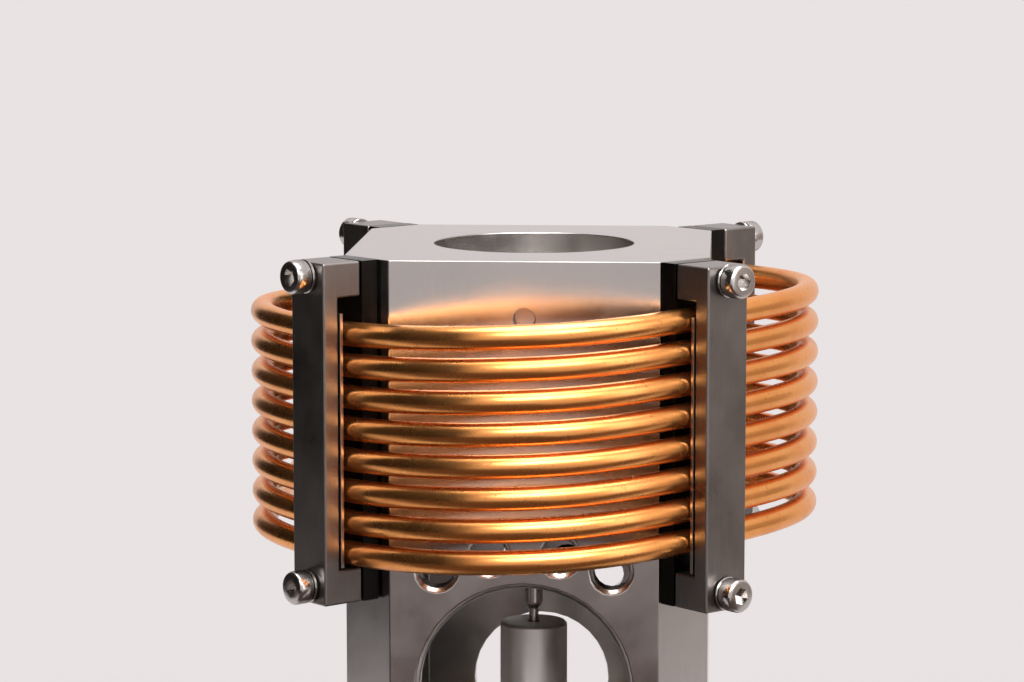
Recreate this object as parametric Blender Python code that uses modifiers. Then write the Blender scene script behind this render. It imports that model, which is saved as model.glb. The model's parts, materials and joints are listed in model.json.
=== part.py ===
"""Desktop Stirling engine with a water-cooled square column.

The displacer runs in the column's upper bore, inside a copper cooling coil that four corner clamps
hold. A trunk crosshead below the gland takes the displacer rod to the crank, and the power cylinder
lies flat at the back of the column, so both connecting rods share one crank pin.

Metres, +Z up. The front is -Y. The origin is the middle of the footprint, on the table.
"""

import math

import bmesh
import bpy
from mathutils import Matrix, Vector

MM = 0.001

# ---------------------------------------------------------------- driving dimensions (millimetres)

GAP = 0.3                   # between pieces that touch
FIT = 0.3                   # running clearance on a radius

FOOT_HEIGHT = 3.0
FOOT_RADIUS = 6.0
FOOT_SPREAD = 50.0          # foot centre from the middle, along X and Y

BASE_SIZE = 120.0
BASE_THICKNESS = 8.0
BASE_CORNER = 6.0
BASE_HOLE_RADIUS = 2.25
BASE_HOLE_X = 53.0
BASE_HOLE_Y = 24.0

COLUMN_SIZE = 60.0          # across the flats
COLUMN_HEIGHT = 170.0
COLUMN_CHAMFER = 8.0
COLUMN_WALL = 4.0           # round the open lower part
BLOCK_DEPTH = 44.5          # the solid upper part, from the top down

MOUTH_RADIUS = 17.0         # bore seen from above
MOUTH_DEPTH = 5.0
LINER_WALL = 1.2
HOT_CAP_THICKNESS = 1.5

WINDOW_RADIUS = 17.2
WINDOW_RIM = 0.8            # chamfer round the windows and ports
WINDOW_DROP = 71.0          # window centre below the column's top
BACK_WINDOW_RADIUS = 12.0
BACK_WINDOW_DROP = 81.3
CRANK_WINDOW_RADIUS = 17.2
PORT_RADIUS = 2.9
PORT_OFFSETS = ((5.8, 22.6), (14.3, 20.0))  # across and above the front window's centre
BACK_PORT_OFFSETS = ((4.6, 21.4), (11.8, 19.0))
GAUGE_HOLE_RADIUS = 1.8
GAUGE_HOLE_DROP = 9.5

CLAMP_STAND = 11.2          # outer face of a clamp bar from the column's corner face
CLAMP_RISE = 0.0            # the bars stand above the column's top
LUG_CLEARANCE = 0.3         # lower lug below the lowest pass of the tube
CLAMP_WIDTH = 8.7
CLAMP_DEPTH = 7.5
CLAMP_TURN = 1.6            # degrees that the clamps sit off the corners, clockwise from above
CLAMP_WEB = 3.0
CLAMP_LUG = 5.7
LINER_STRIP = 0.6
LINER_STRIP_ENDS = 2.6      # strip stops short of each lug
SCREW_INSET_TOP = 2.3       # screw axis from a bar's end
SCREW_INSET_BOTTOM = 2.9

SCREW_RADIUS = 1.45
SCREW_HEAD_RADIUS = 2.75
SCREW_HEAD_HEIGHT = 2.65
SCREW_SOCKET_RADIUS = 1.45
SCREW_SOCKET_DEPTH = 1.5
SCREW_REACH = 6.0           # into the column's corner
WASHER_RADIUS = 2.75
WASHER_THICKNESS = 0.4

TUBE_RADIUS = 2.0
COIL_PITCH = 5.15
COIL_TURNS = 7              # whole turns between the top and bottom passes of the front left clamp
COIL_TOP_DROP = 11.95       # top pass of the front left clamp, below the column's top
COIL_STAND = 16.25          # tube centre from the column's flats, half way between clamps
COIL_LIFTS = (0.0, 1.1, 1.8, 2.2, 1.3, 1.2, 1.0, 1.1)  # winding above a true helix, at every 45 degrees
                                                       # from the front left clamp, anticlockwise
COIL_STEP = 9.0             # degrees between points
COIL_RISE_END = 425.0       # angle where the upper tail leaves the winding
COIL_FALL_END = 180.0       # angle where the lower tail leaves the winding
COIL_END = 55.0             # both tube ends, behind the axis
COIL_END_X = 7.0
GROOVE_CLEARANCE = 0.3

CRANK_DROP = 126.0          # crank axis below the column's top
CRANK_THROW = 4.0
CRANK_PIN_RADIUS = 2.0
CRANK_PIN_HALF = 5.0
CRANK_WEB_RADIUS = 10.0
CRANK_WEB_THICKNESS = 4.0
SHAFT_RADIUS = 3.0
SHAFT_LEFT = 43.0
SHAFT_RIGHT = 52.0

BEARING_RADIUS = 7.0
BEARING_FLANGE_RADIUS = 9.0
BEARING_FLANGE = 2.0
BEARING_INSIDE = 3.5

FLYWHEEL_RADIUS = 40.0
FLYWHEEL_RIM = 7.5
FLYWHEEL_WIDTH = 10.0
FLYWHEEL_WEB = 4.0
FLYWHEEL_HUB_RADIUS = 8.0
FLYWHEEL_HUB_LENGTH = 12.0
FLYWHEEL_HOLES = 6
FLYWHEEL_HOLE_RADIUS = 5.5
FLYWHEEL_HOLE_CIRCLE = 20.0
NUT_RADIUS = 5.6
NUT_THICKNESS = 3.0

COLLAR_RADIUS = 7.0
COLLAR_WIDTH = 6.0

ROD_THICKNESS = 3.6
ROD_OFFSET = 2.3            # each rod from the crank pin's middle
BIG_END_RADIUS = 4.5
SMALL_END_RADIUS = 3.0
WRIST_PIN_RADIUS = 1.3
WRIST_PIN_LENGTH = 7.0
SHANK_HALF_WIDTH = 1.6

DISPLACER_TOP = 12.3        # below the column's top, at mid stroke
DISPLACER_LENGTH = 20.0
DISPLACER_RADIUS = 16.3
DISPLACER_ROD_RADIUS = 1.55
ROD_NECK_RADIUS = 0.8

GLAND_TOP = 38.0
GLAND_FLANGE = 2.5
GLAND_FLANGE_RADIUS = 22.5
GLAND_BUSH_RADIUS = 4.0
GLAND_BUSH_FLANGE_RADIUS = 6.0
GLAND_BUSH_FLANGE = 2.4

CROSSHEAD_TOP = 65.4
CROSSHEAD_RADIUS = 5.75
TRUNK_TOP = 88.0
TRUNK_LENGTH = 18.0
TRUNK_RADIUS = 11.0
TRUNK_WALL = 2.0
TRUNK_CROWN = 4.0
DISPLACER_ROD_LENGTH = 22.0  # centre to centre of the displacer's connecting rod

GUIDE_PLATE_DROP = 95.0
GUIDE_PLATE_THICKNESS = 4.0
GUIDE_BUSH_WALL = 2.2
GUIDE_BUSH_LENGTH = 14.0
GUIDE_FLANGE_RADIUS = 16.0
GUIDE_FLANGE = 2.0

POWER_PISTON_RADIUS = 11.0
POWER_PISTON_WALL = 1.8
POWER_PISTON_CROWN = 2.7
POWER_PISTON_SKIRT = 23.0   # skirt's open end, behind the crank axis
POWER_PISTON_LENGTH = 17.5
POWER_ROD_LENGTH = 30.0
POWER_CYLINDER_WALL = 1.9
POWER_CYLINDER_START = 24.0
POWER_CYLINDER_END = 50.5
POWER_FLANGE_RADIUS = 17.0
POWER_FLANGE = 4.0
POWER_HEAD_RADIUS = 15.0
POWER_HEAD = 4.0

PIPE_RADIUS = 1.5
PIPE_X = -16.0
PIPE_STANDOFF = 4.5         # pipe's run behind the column's back face
PIPE_TOP_DROP = 33.0
UNION_RADIUS = 2.8
UNION_UPPER_LENGTH = 2.0
UNION_LOWER_LENGTH = 5.0

# ---------------------------------------------------------------- places worked out from them

COLUMN_HALF = COLUMN_SIZE / 2
CAVITY_HALF = COLUMN_HALF - COLUMN_WALL
BASE_BOTTOM = FOOT_HEIGHT + GAP
BASE_TOP = BASE_BOTTOM + BASE_THICKNESS
COLUMN_BOTTOM = BASE_TOP + GAP
TOP = COLUMN_BOTTOM + COLUMN_HEIGHT
CORNER_PLANE = (2 * COLUMN_HALF - COLUMN_CHAMFER) / math.sqrt(2)
CAVITY_CHAMFER = 2 * CAVITY_HALF - (CORNER_PLANE - COLUMN_WALL) * math.sqrt(2)
LINER_RADIUS = MOUTH_RADIUS + LINER_WALL
BORE_RADIUS = LINER_RADIUS + GAP
CRANK_Z = TOP - CRANK_DROP
CLAMP_FACE = CORNER_PLANE + CLAMP_STAND
COMB_FACE = CLAMP_FACE - CLAMP_DEPTH - GAP
COMB_BACK = CORNER_PLANE + GAP
SCREW_CLEARANCE = SCREW_RADIUS + GAP
HEAD_SEAT = CLAMP_FACE + GAP + WASHER_THICKNESS + GAP
STRIP_FACE = CLAMP_FACE - CLAMP_WEB - GAP
GROOVE_RADIUS = TUBE_RADIUS + GROOVE_CLEARANCE
COIL_SIDE_RADIUS = COLUMN_HALF + COIL_STAND
COIL_CLAMP_RADIUS = STRIP_FACE - LINER_STRIP - GAP - TUBE_RADIUS
POWER_BORE = POWER_PISTON_RADIUS + FIT
POWER_CYLINDER_RADIUS = POWER_BORE + POWER_CYLINDER_WALL
POWER_FLANGE_START = COLUMN_HALF + GAP
HEAD_START = POWER_CYLINDER_END + GAP
PIPE_Y = COLUMN_HALF + PIPE_STANDOFF
UNION_LOW_Y = POWER_CYLINDER_END - 4.5

CLAMPS = {"front_left": 225.0 - CLAMP_TURN, "front_right": 315.0 - CLAMP_TURN,
          "back_right": 45.0 - CLAMP_TURN, "back_left": 135.0 - CLAMP_TURN}
COIL_LOW = 225.0 - 360.0 * COIL_TURNS                   # bottom pass of the front left clamp
CLAMP_HEIGHT = (CLAMP_RISE + COIL_TOP_DROP + COIL_TURNS * COIL_PITCH + TUBE_RADIUS
                + LUG_CLEARANCE + CLAMP_LUG)

STEEL = ("polished_steel", (0.62, 0.58, 0.55), 0.18, 1.0)
BRIGHT = ("bright_steel", (0.72, 0.71, 0.70), 0.15, 1.0)
BLACK_STEEL = ("blackened_steel", (0.05, 0.047, 0.047), 0.35, 0.9)
GREY_STEEL = ("ground_steel", (0.24, 0.23, 0.23), 0.40, 1.0)
SPRING_STEEL = ("strip_steel", (0.45, 0.40, 0.38), 0.35, 1.0)
COPPER = ("copper", (0.80, 0.40, 0.18), 0.25, 1.0)
BRONZE = ("bronze", (0.62, 0.42, 0.20), 0.30, 1.0)
CAST = ("cast_iron", (0.16, 0.16, 0.165), 0.45, 0.9)
ALLOY = ("alloy", (0.60, 0.61, 0.62), 0.30, 1.0)
ANODISED = ("anodised", (0.06, 0.06, 0.065), 0.40, 0.6)
RUBBER = ("rubber", (0.02, 0.02, 0.02), 0.80, 0.0)

# ---------------------------------------------------------------- helpers


def new_collection(name):
    collection = bpy.data.collections.new(name)
    bpy.context.scene.collection.children.link(collection)
    return collection


def material_for(finish):
    name, colour, roughness, metallic = finish
    if name in bpy.data.materials:
        return bpy.data.materials[name]
    material = bpy.data.materials.new(name)
    material.use_nodes = True
    shader = material.node_tree.nodes["Principled BSDF"]
    shader.inputs["Base Color"].default_value = (*colour, 1.0)
    shader.inputs["Roughness"].default_value = roughness
    shader.inputs["Metallic"].default_value = metallic
    return material


def place(obj, finish, matrix=None, parent=None):
    """Put a piece in the engine's collection, with its finish and its place."""
    PARTS.objects.link(obj)
    obj.data.materials.clear()
    obj.data.materials.append(material_for(finish))
    if parent is not None:
        obj.parent = parent
        matrix = Matrix.Translation(-parent.location) @ (matrix or Matrix.Identity(4))
    if matrix is not None:
        obj.matrix_local = matrix
    return obj


def moved(x=0.0, y=0.0, z=0.0):
    return Matrix.Translation(Vector((x, y, z)) * MM)


def facing(direction):
    """Turn +Z to a direction."""
    return Vector(direction).to_track_quat("Z", "Y").to_matrix().to_4x4()


def radial(angle, drop):
    """Frame on a clamp's screw or bar line: local +Z points outward, local +Y up."""
    turn = math.radians(angle)
    outward = Vector((math.cos(turn), math.sin(turn), 0.0))
    across = Vector((-math.sin(turn), math.cos(turn), 0.0))
    rows = Matrix((across, Vector((0, 0, 1)), outward)).transposed().to_4x4()
    return moved(z=TOP - drop) @ rows


def finished_mesh(name, bm):
    bmesh.ops.remove_doubles(bm, verts=bm.verts, dist=1e-6)
    mesh = bpy.data.meshes.new(name)
    bm.to_mesh(mesh)
    bm.free()
    return mesh


def cylinder(name, radius, low, high, sides=24):
    """A cylinder on local Z from low to high."""
    bm = bmesh.new()
    bmesh.ops.create_cone(bm, cap_ends=True, segments=sides, radius1=radius * MM,
                          radius2=radius * MM, depth=(high - low) * MM)
    bmesh.ops.translate(bm, vec=(0, 0, (low + high) / 2 * MM), verts=bm.verts)
    return bpy.data.objects.new(name, finished_mesh(name, bm))


def turned(name, profile, sides=32):
    """Turn a closed outline of (radius, height) round local Z. It runs down the outer side."""
    bm = bmesh.new()
    points = [bm.verts.new((r * MM, 0.0, z * MM)) for r, z in profile]
    solid = profile[0][0] == 0.0
    for start, end in zip(points, points[1:]):
        bm.edges.new((start, end))
    if not solid:
        bm.edges.new((points[-1], points[0]))
    mesh = bpy.data.meshes.new(name)
    bm.to_mesh(mesh)
    bm.free()
    obj = bpy.data.objects.new(name, mesh)
    spin = obj.modifiers.new("turn", "SCREW")
    spin.steps = sides
    spin.render_steps = sides
    spin.axis = "Z"
    spin.use_merge_vertices = True
    spin.merge_threshold = 1e-6
    return obj


def outline_plate(name, loops, thickness, centred=True):
    """Fill a flat outline, with holes, in local XY and give it a thickness along Z."""
    curve = bpy.data.curves.new(name, "CURVE")
    curve.dimensions = "2D"
    curve.fill_mode = "BOTH"
    curve.extrude = thickness / 2 * MM
    for loop in loops:
        spline = curve.splines.new("POLY")
        spline.points.add(len(loop) - 1)
        for point, (x, y) in zip(spline.points, loop):
            point.co = (x * MM, y * MM, 0.0, 1.0)
        spline.use_cyclic_u = True
    curve_object = bpy.data.objects.new(name + "_outline", curve)
    bpy.context.scene.collection.objects.link(curve_object)
    bpy.context.view_layer.update()
    graph = bpy.context.evaluated_depsgraph_get()
    mesh = bpy.data.meshes.new_from_object(curve_object.evaluated_get(graph))
    bpy.data.objects.remove(curve_object)
    bm = bmesh.new()
    bm.from_mesh(mesh)
    bpy.data.meshes.remove(mesh)
    if not centred:
        bmesh.ops.translate(bm, vec=(0, 0, thickness / 2 * MM), verts=bm.verts)
    return bpy.data.objects.new(name, finished_mesh(name, bm))


def octagon(half, corner):
    """Outline of a square with its corners cut."""
    reach = half - corner
    return [(half, -reach), (half, reach), (reach, half), (-reach, half),
            (-half, reach), (-half, -reach), (-reach, -half), (reach, -half)]


def circle(radius, centre=(0.0, 0.0), sides=24, start=0.0, sweep=360.0):
    """Points of a circle, or of an arc when the sweep is less than a full turn."""
    count = sides if sweep == 360.0 else sides + 1
    return [(centre[0] + radius * math.cos(math.radians(start + sweep * i / sides)),
             centre[1] + radius * math.sin(math.radians(start + sweep * i / sides)))
            for i in range(count)]


def cut(obj, cutter, matrix=None):
    """Take a cutter's shape out of a piece."""
    CUTTERS.objects.link(cutter)
    cutter.display_type = "WIRE"
    cutter.hide_render = True
    if matrix is not None:
        cutter.matrix_world = matrix
    tool = obj.modifiers.new(cutter.name, "BOOLEAN")
    tool.operation = "DIFFERENCE"
    tool.solver = "EXACT"
    tool.object = cutter
    return tool


def bake(obj):
    """Keep a piece's evaluated mesh, so that copies can share it."""
    bpy.context.view_layer.update()
    graph = bpy.context.evaluated_depsgraph_get()
    mesh = bpy.data.meshes.new_from_object(obj.evaluated_get(graph))
    mesh.name = obj.name
    obj.modifiers.clear()
    obj.data = mesh
    return mesh


def smooth(obj, angle=35.0):
    """Shade the evaluated shape smooth, with its sharp edges kept."""
    shade = obj.modifiers.new("weighted", "WEIGHTED_NORMAL")
    shade.keep_sharp = True
    obj.data.shade_smooth()
    obj.data.set_sharp_from_angle(angle=math.radians(angle))
    return obj


def joint_empty(name, x, y, z):
    """A parent that marks a joint's axis."""
    empty = bpy.data.objects.new(name, None)
    empty.location = Vector((x, y, z)) * MM
    PARTS.objects.link(empty)
    return empty


# ---------------------------------------------------------------- base


def make_base():
    outline = octagon(BASE_SIZE / 2, BASE_CORNER)
    holes = [circle(BASE_HOLE_RADIUS, (x, y), 16)
             for x in (-BASE_HOLE_X, BASE_HOLE_X) for y in (-BASE_HOLE_Y, BASE_HOLE_Y)]
    plate = outline_plate("base_plate", [outline] + holes, BASE_THICKNESS, centred=False)
    place(plate, ANODISED, moved(z=BASE_BOTTOM))
    for side, x in (("left", -FOOT_SPREAD), ("right", FOOT_SPREAD)):
        for end, y in (("front", -FOOT_SPREAD), ("back", FOOT_SPREAD)):
            profile = [(0, FOOT_HEIGHT), (FOOT_RADIUS, FOOT_HEIGHT), (FOOT_RADIUS, 0.6),
                       (FOOT_RADIUS - 0.6, 0), (0, 0)]
            foot = turned(f"foot_{end}_{side}", profile, 24)
            place(smooth(foot), RUBBER, moved(x, y, 0))


# ---------------------------------------------------------------- column


def rimmed_cutter(name, radius, depth, rim=WINDOW_RIM, sides=48):
    """A hole's cutter on local Z, with a chamfer where it meets the face at local Z = 0."""
    over = 1.0
    profile = [(0, over), (radius + rim + over, over), (radius, -rim), (radius, -depth), (0, -depth)]
    return turned(name, profile, sides)


def make_column():
    half = COLUMN_HALF
    column = outline_plate("column", [octagon(half, COLUMN_CHAMFER)], COLUMN_HEIGHT, centred=False)
    place(column, STEEL, moved(z=COLUMN_BOTTOM))

    bore = [(0, 1), (MOUTH_RADIUS, 1), (MOUTH_RADIUS, -MOUTH_DEPTH), (BORE_RADIUS, -MOUTH_DEPTH),
            (BORE_RADIUS, -BLOCK_DEPTH - 1), (0, -BLOCK_DEPTH - 1)]
    cut(column, turned("bore_cutter", bore, 48), moved(z=TOP))
    cavity_height = COLUMN_HEIGHT - BLOCK_DEPTH + 1
    cavity = outline_plate("cavity_cutter", [octagon(CAVITY_HALF, CAVITY_CHAMFER)], cavity_height, False)
    cut(column, cavity, moved(z=COLUMN_BOTTOM - 1))

    through = COLUMN_WALL + 1
    front = facing((0, -1, 0))
    back = facing((0, 1, 0))
    holes = [("window_front", front, 0, -WINDOW_DROP, WINDOW_RADIUS, 40),
             ("window_crank", front, 0, -CRANK_DROP, CRANK_WINDOW_RADIUS, 40),
             ("window_back", back, 0, -BACK_WINDOW_DROP, BACK_WINDOW_RADIUS, 32)]
    for side in (-1, 1):
        for index, (across, above) in enumerate(PORT_OFFSETS):
            holes.append((f"port_front_{side}_{index}", front, side * across,
                          above - WINDOW_DROP, PORT_RADIUS, 16))
        for index, (across, above) in enumerate(BACK_PORT_OFFSETS):
            holes.append((f"port_back_{side}_{index}", back, side * across,
                          above - BACK_WINDOW_DROP, PORT_RADIUS, 16))
    for name, turn, x, z, radius, sides in holes:
        face = -half if turn is front else half
        cut(column, rimmed_cutter(name, radius, through, sides=sides), moved(x, face, TOP + z) @ turn)

    gauge = cylinder("gauge_cutter", GAUGE_HOLE_RADIUS, -3.5, 1, 16)
    cut(column, gauge, moved(0, -half, TOP - GAUGE_HOLE_DROP) @ front)
    cylinder_hole = cylinder("power_cutter", POWER_CYLINDER_RADIUS + GAP, -through, 1, 32)
    cut(column, cylinder_hole, moved(0, half, CRANK_Z) @ back)
    shaft_hole = cylinder("bearing_cutter", BEARING_RADIUS + GAP, -half - 1, half + 1, 32)
    cut(column, shaft_hole, moved(z=CRANK_Z) @ facing((1, 0, 0)))
    gas_port = cylinder("gas_port_cutter", PIPE_RADIUS + GAP, -12, 1, 16)
    cut(column, gas_port, moved(PIPE_X, half, TOP - PIPE_TOP_DROP) @ back)

    tapped = CORNER_PLANE - SCREW_REACH - 1.5
    for corner, angle in CLAMPS.items():
        for end, drop in screw_drops():
            hole = cylinder(f"tapped_{corner}_{end}", SCREW_CLEARANCE, tapped, CORNER_PLANE + 2, 12)
            cut(column, hole, radial(angle, drop))
    return column


# ---------------------------------------------------------------- clamps


def screw_drops():
    """The two screw heights of a clamp, as drops below the column's top."""
    return (("upper", SCREW_INSET_TOP - CLAMP_RISE),
            ("lower", CLAMP_HEIGHT - SCREW_INSET_BOTTOM - CLAMP_RISE))


def coil_lift(angle):
    """The listed lifts, joined smoothly round the column."""
    step = ((angle - 225.0) % 360.0) / 45.0
    index = int(step)
    t = step - index
    a, b, c, d = (COIL_LIFTS[(index + shift) % 8] for shift in (-1, 0, 1, 2))
    return 0.5 * (2 * b + (c - a) * t + (2 * a - 5 * b + 4 * c - d) * t * t
                  + (3 * b - a - 3 * c + d) * t ** 3)


def tube_drop(angle):
    """Height of the winding, as a drop below the column's top. The angle grows up the coil."""
    return COIL_TOP_DROP - COIL_PITCH * (angle - 225.0) / 360.0 - coil_lift(angle)


def passes(angle):
    """Drops at which the winding passes a clamp."""
    found = []
    turn = angle
    while turn > COIL_RISE_END:
        turn -= 360.0
    while turn + 360.0 <= COIL_RISE_END:
        turn += 360.0
    while turn >= COIL_FALL_END + COIL_LOW - 225.0:
        found.append(tube_drop(turn))
        turn -= 360.0
    return found


def in_bar_plane(shape_name, outline, width, angle):
    """Extrude an outline of (outward, drop) across a clamp, in the engine's frame."""
    plate = outline_plate(shape_name, [[(outward, -drop) for outward, drop in outline]], width)
    turn = math.radians(angle)
    outward = Vector((math.cos(turn), math.sin(turn), 0.0))
    across = Vector((math.sin(turn), -math.cos(turn), 0.0))
    rows = Matrix((outward, Vector((0, 0, 1)), across)).transposed().to_4x4()
    return plate, moved(z=TOP) @ rows


def make_clamp_bar(corner, angle):
    """The outer bar: a web with a lug at each end."""
    high = -CLAMP_RISE
    low = high + CLAMP_HEIGHT
    web = CLAMP_FACE - CLAMP_WEB
    lug = CLAMP_FACE - CLAMP_DEPTH
    outline = [(CLAMP_FACE, high), (CLAMP_FACE, low), (lug, low), (lug, low - CLAMP_LUG),
               (web, low - CLAMP_LUG), (web, high + CLAMP_LUG), (lug, high + CLAMP_LUG), (lug, high)]
    bar, frame = in_bar_plane(f"clamp_bar_{corner}", outline, CLAMP_WIDTH, angle)
    edge = bar.modifiers.new("edges", "BEVEL")
    edge.width = 0.25 * MM
    edge.segments = 1
    edge.limit_method = "ANGLE"
    place(bar, GREY_STEEL, frame)
    for end, drop in screw_drops():
        hole = cylinder(f"bar_hole_{corner}_{end}", SCREW_CLEARANCE, lug - 1, CLAMP_FACE + 1, 12)
        cut(bar, hole, radial(angle, drop))


def make_strip(corner, angle):
    """The liner strip that the tube presses on."""
    high = -CLAMP_RISE + CLAMP_LUG + LINER_STRIP_ENDS
    low = -CLAMP_RISE + CLAMP_HEIGHT - CLAMP_LUG - GAP
    outline = [(STRIP_FACE, high), (STRIP_FACE, low), (STRIP_FACE - LINER_STRIP, low),
               (STRIP_FACE - LINER_STRIP, high)]
    strip, frame = in_bar_plane(f"liner_strip_{corner}", outline, CLAMP_WIDTH, angle)
    place(strip, SPRING_STEEL, frame)


def make_comb(corner, angle):
    """The inner bar, grooved for each pass of the tube."""
    high = -CLAMP_RISE
    low = high + CLAMP_HEIGHT
    centre = COIL_CLAMP_RADIUS
    reach = math.degrees(math.acos((COMB_FACE - centre) / GROOVE_RADIUS))
    outline = [(COMB_FACE, high)]
    for drop in sorted(passes(angle)):
        # A groove's arc runs round the tube's inner side, from above the tube to below it.
        for step in range(9):
            turn = math.radians(-reach - (360.0 - 2 * reach) * step / 8)
            outline.append((centre + GROOVE_RADIUS * math.cos(turn),
                            drop + GROOVE_RADIUS * math.sin(turn)))
    outline += [(COMB_FACE, low), (COMB_BACK, low), (COMB_BACK, high)]
    comb, frame = in_bar_plane(f"comb_bar_{corner}", outline, CLAMP_WIDTH, angle)
    place(comb, BLACK_STEEL, frame)
    for end, drop in screw_drops():
        hole = cylinder(f"comb_hole_{corner}_{end}", SCREW_CLEARANCE,
                        CORNER_PLANE - 1, COMB_FACE + 1, 12)
        cut(comb, hole, radial(angle, drop))


def screw_mesh():
    """A socket head cap screw: its head's seat is at local Z = 0 and its shank runs down."""
    shank = CORNER_PLANE - SCREW_REACH - HEAD_SEAT
    bevel = 0.3
    profile = [(0, SCREW_HEAD_HEIGHT), (SCREW_HEAD_RADIUS - bevel, SCREW_HEAD_HEIGHT),
               (SCREW_HEAD_RADIUS, SCREW_HEAD_HEIGHT - bevel), (SCREW_HEAD_RADIUS, 0),
               (SCREW_RADIUS, 0), (SCREW_RADIUS, shank + bevel), (SCREW_RADIUS - bevel, shank), (0, shank)]
    screw = turned("cap_screw", profile, 16)
    PARTS.objects.link(screw)
    socket = cylinder("socket_cutter", SCREW_SOCKET_RADIUS, SCREW_HEAD_HEIGHT - SCREW_SOCKET_DEPTH,
                      SCREW_HEAD_HEIGHT + 1, 6)
    cut(screw, socket)
    mesh = bake(screw)
    bpy.data.objects.remove(screw)
    bpy.data.objects.remove(socket)
    return mesh


def make_clamps():
    mesh = screw_mesh()
    ring = [(WASHER_RADIUS, WASHER_THICKNESS), (WASHER_RADIUS, 0),
            (SCREW_CLEARANCE, 0), (SCREW_CLEARANCE, WASHER_THICKNESS)]
    for corner, angle in CLAMPS.items():
        make_clamp_bar(corner, angle)
        make_strip(corner, angle)
        make_comb(corner, angle)
        for end, drop in screw_drops():
            screw = bpy.data.objects.new(f"clamp_screw_{corner}_{end}", mesh)
            place(screw, BRIGHT, radial(angle, drop) @ moved(z=HEAD_SEAT))
            washer = turned(f"clamp_washer_{corner}_{end}", ring, 20)
            place(smooth(washer), BRIGHT, radial(angle, drop) @ moved(z=CLAMP_FACE + GAP))


# ---------------------------------------------------------------- coil


def coil_point(angle):
    """A point of the winding. The plan swells between the clamps."""
    swell = (1.0 - math.cos(math.radians(4.0 * angle))) / 2.0
    radius = COIL_SIDE_RADIUS - (COIL_SIDE_RADIUS - COIL_CLAMP_RADIUS) * swell
    turn = math.radians(angle)
    return Vector((radius * math.cos(turn), radius * math.sin(turn), TOP - tube_drop(angle)))


def smooth_route(points, steps):
    """A Catmull-Rom curve through the points, without its first and last ones."""
    route = []
    for a, b, c, d in zip(points, points[1:], points[2:], points[3:]):
        for step in range(steps):
            t = step / steps
            route.append(0.5 * ((2 * b) + (c - a) * t + (2 * a - 5 * b + 4 * c - d) * t * t
                                + (3 * b - a - 3 * c + d) * t ** 3))
    return route


def tube(name, route, radius, finish, resolution=2):
    """A round tube along a route in millimetres."""
    curve = bpy.data.curves.new(name, "CURVE")
    curve.dimensions = "3D"
    curve.bevel_depth = radius * MM
    curve.bevel_resolution = resolution
    curve.use_fill_caps = True
    spline = curve.splines.new("POLY")
    spline.points.add(len(route) - 1)
    for point, place_mm in zip(spline.points, route):
        point.co = (*(place_mm * MM), 1.0)
    obj = bpy.data.objects.new(name, curve)
    return place(obj, finish)


def make_coil():
    """The winding, with a straight end at the back for each hose."""
    start = COIL_FALL_END + COIL_LOW - 225.0
    count = round((COIL_RISE_END - start) / COIL_STEP)
    step = (COIL_RISE_END - start) / count
    winding = [coil_point(start + step * index) for index in range(count + 1)]

    first = winding[0]
    tail = [Vector((first.x, reach, first.z)) for reach in (COIL_END, 0.5 * COIL_END, 5.0)]
    last = winding[-1]
    before = winding[-2]
    heading = (last - before).normalized()
    bend = last + heading * 7.0
    stub = smooth_route([before, last, bend + Vector((-1.6, 1.8, 0.4)), Vector((COIL_END_X, 48.0, bend.z + 0.4)),
                         Vector((COIL_END_X, COIL_END, bend.z + 0.4)),
                         Vector((COIL_END_X, COIL_END + 1, bend.z + 0.4))], 5)
    tube("cooling_coil", tail + winding + stub[1:], TUBE_RADIUS, COPPER)


# ---------------------------------------------------------------- displacer and its cylinder


def make_hot_end():
    cap_top = -MOUTH_DEPTH - GAP
    cap_bottom = cap_top - HOT_CAP_THICKNESS
    profile = [(0, cap_top), (LINER_RADIUS, cap_top), (LINER_RADIUS, cap_bottom), (0, cap_bottom)]
    place(smooth(turned("hot_cap", profile, 40)), STEEL, moved(z=TOP))
    high = cap_bottom - GAP
    low = -GLAND_TOP + GAP
    liner = [(LINER_RADIUS, high), (LINER_RADIUS, low), (MOUTH_RADIUS, low), (MOUTH_RADIUS, high)]
    place(smooth(turned("cylinder_liner", liner, 40)), STEEL, moved(z=TOP))


def make_gland():
    flange_top = -BLOCK_DEPTH - GAP
    hole = GLAND_BUSH_RADIUS + GAP
    plate = [(LINER_RADIUS, -GLAND_TOP), (LINER_RADIUS, flange_top), (GLAND_FLANGE_RADIUS, flange_top),
             (GLAND_FLANGE_RADIUS, flange_top - GLAND_FLANGE), (hole, flange_top - GLAND_FLANGE),
             (hole, -GLAND_TOP)]
    place(smooth(turned("gland_plate", plate, 40)), ALLOY, moved(z=TOP))

    bore = DISPLACER_ROD_RADIUS + FIT
    seat = flange_top - GLAND_FLANGE - GAP
    foot = seat - GLAND_BUSH_FLANGE
    profile = [(GLAND_BUSH_RADIUS, -GLAND_TOP - GAP), (GLAND_BUSH_RADIUS, seat),
               (GLAND_BUSH_FLANGE_RADIUS, seat), (GLAND_BUSH_FLANGE_RADIUS, foot),
               (bore, foot), (bore, -GLAND_TOP - GAP)]
    place(smooth(turned("rod_gland", profile, 24)), BRONZE, moved(z=TOP))


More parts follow.
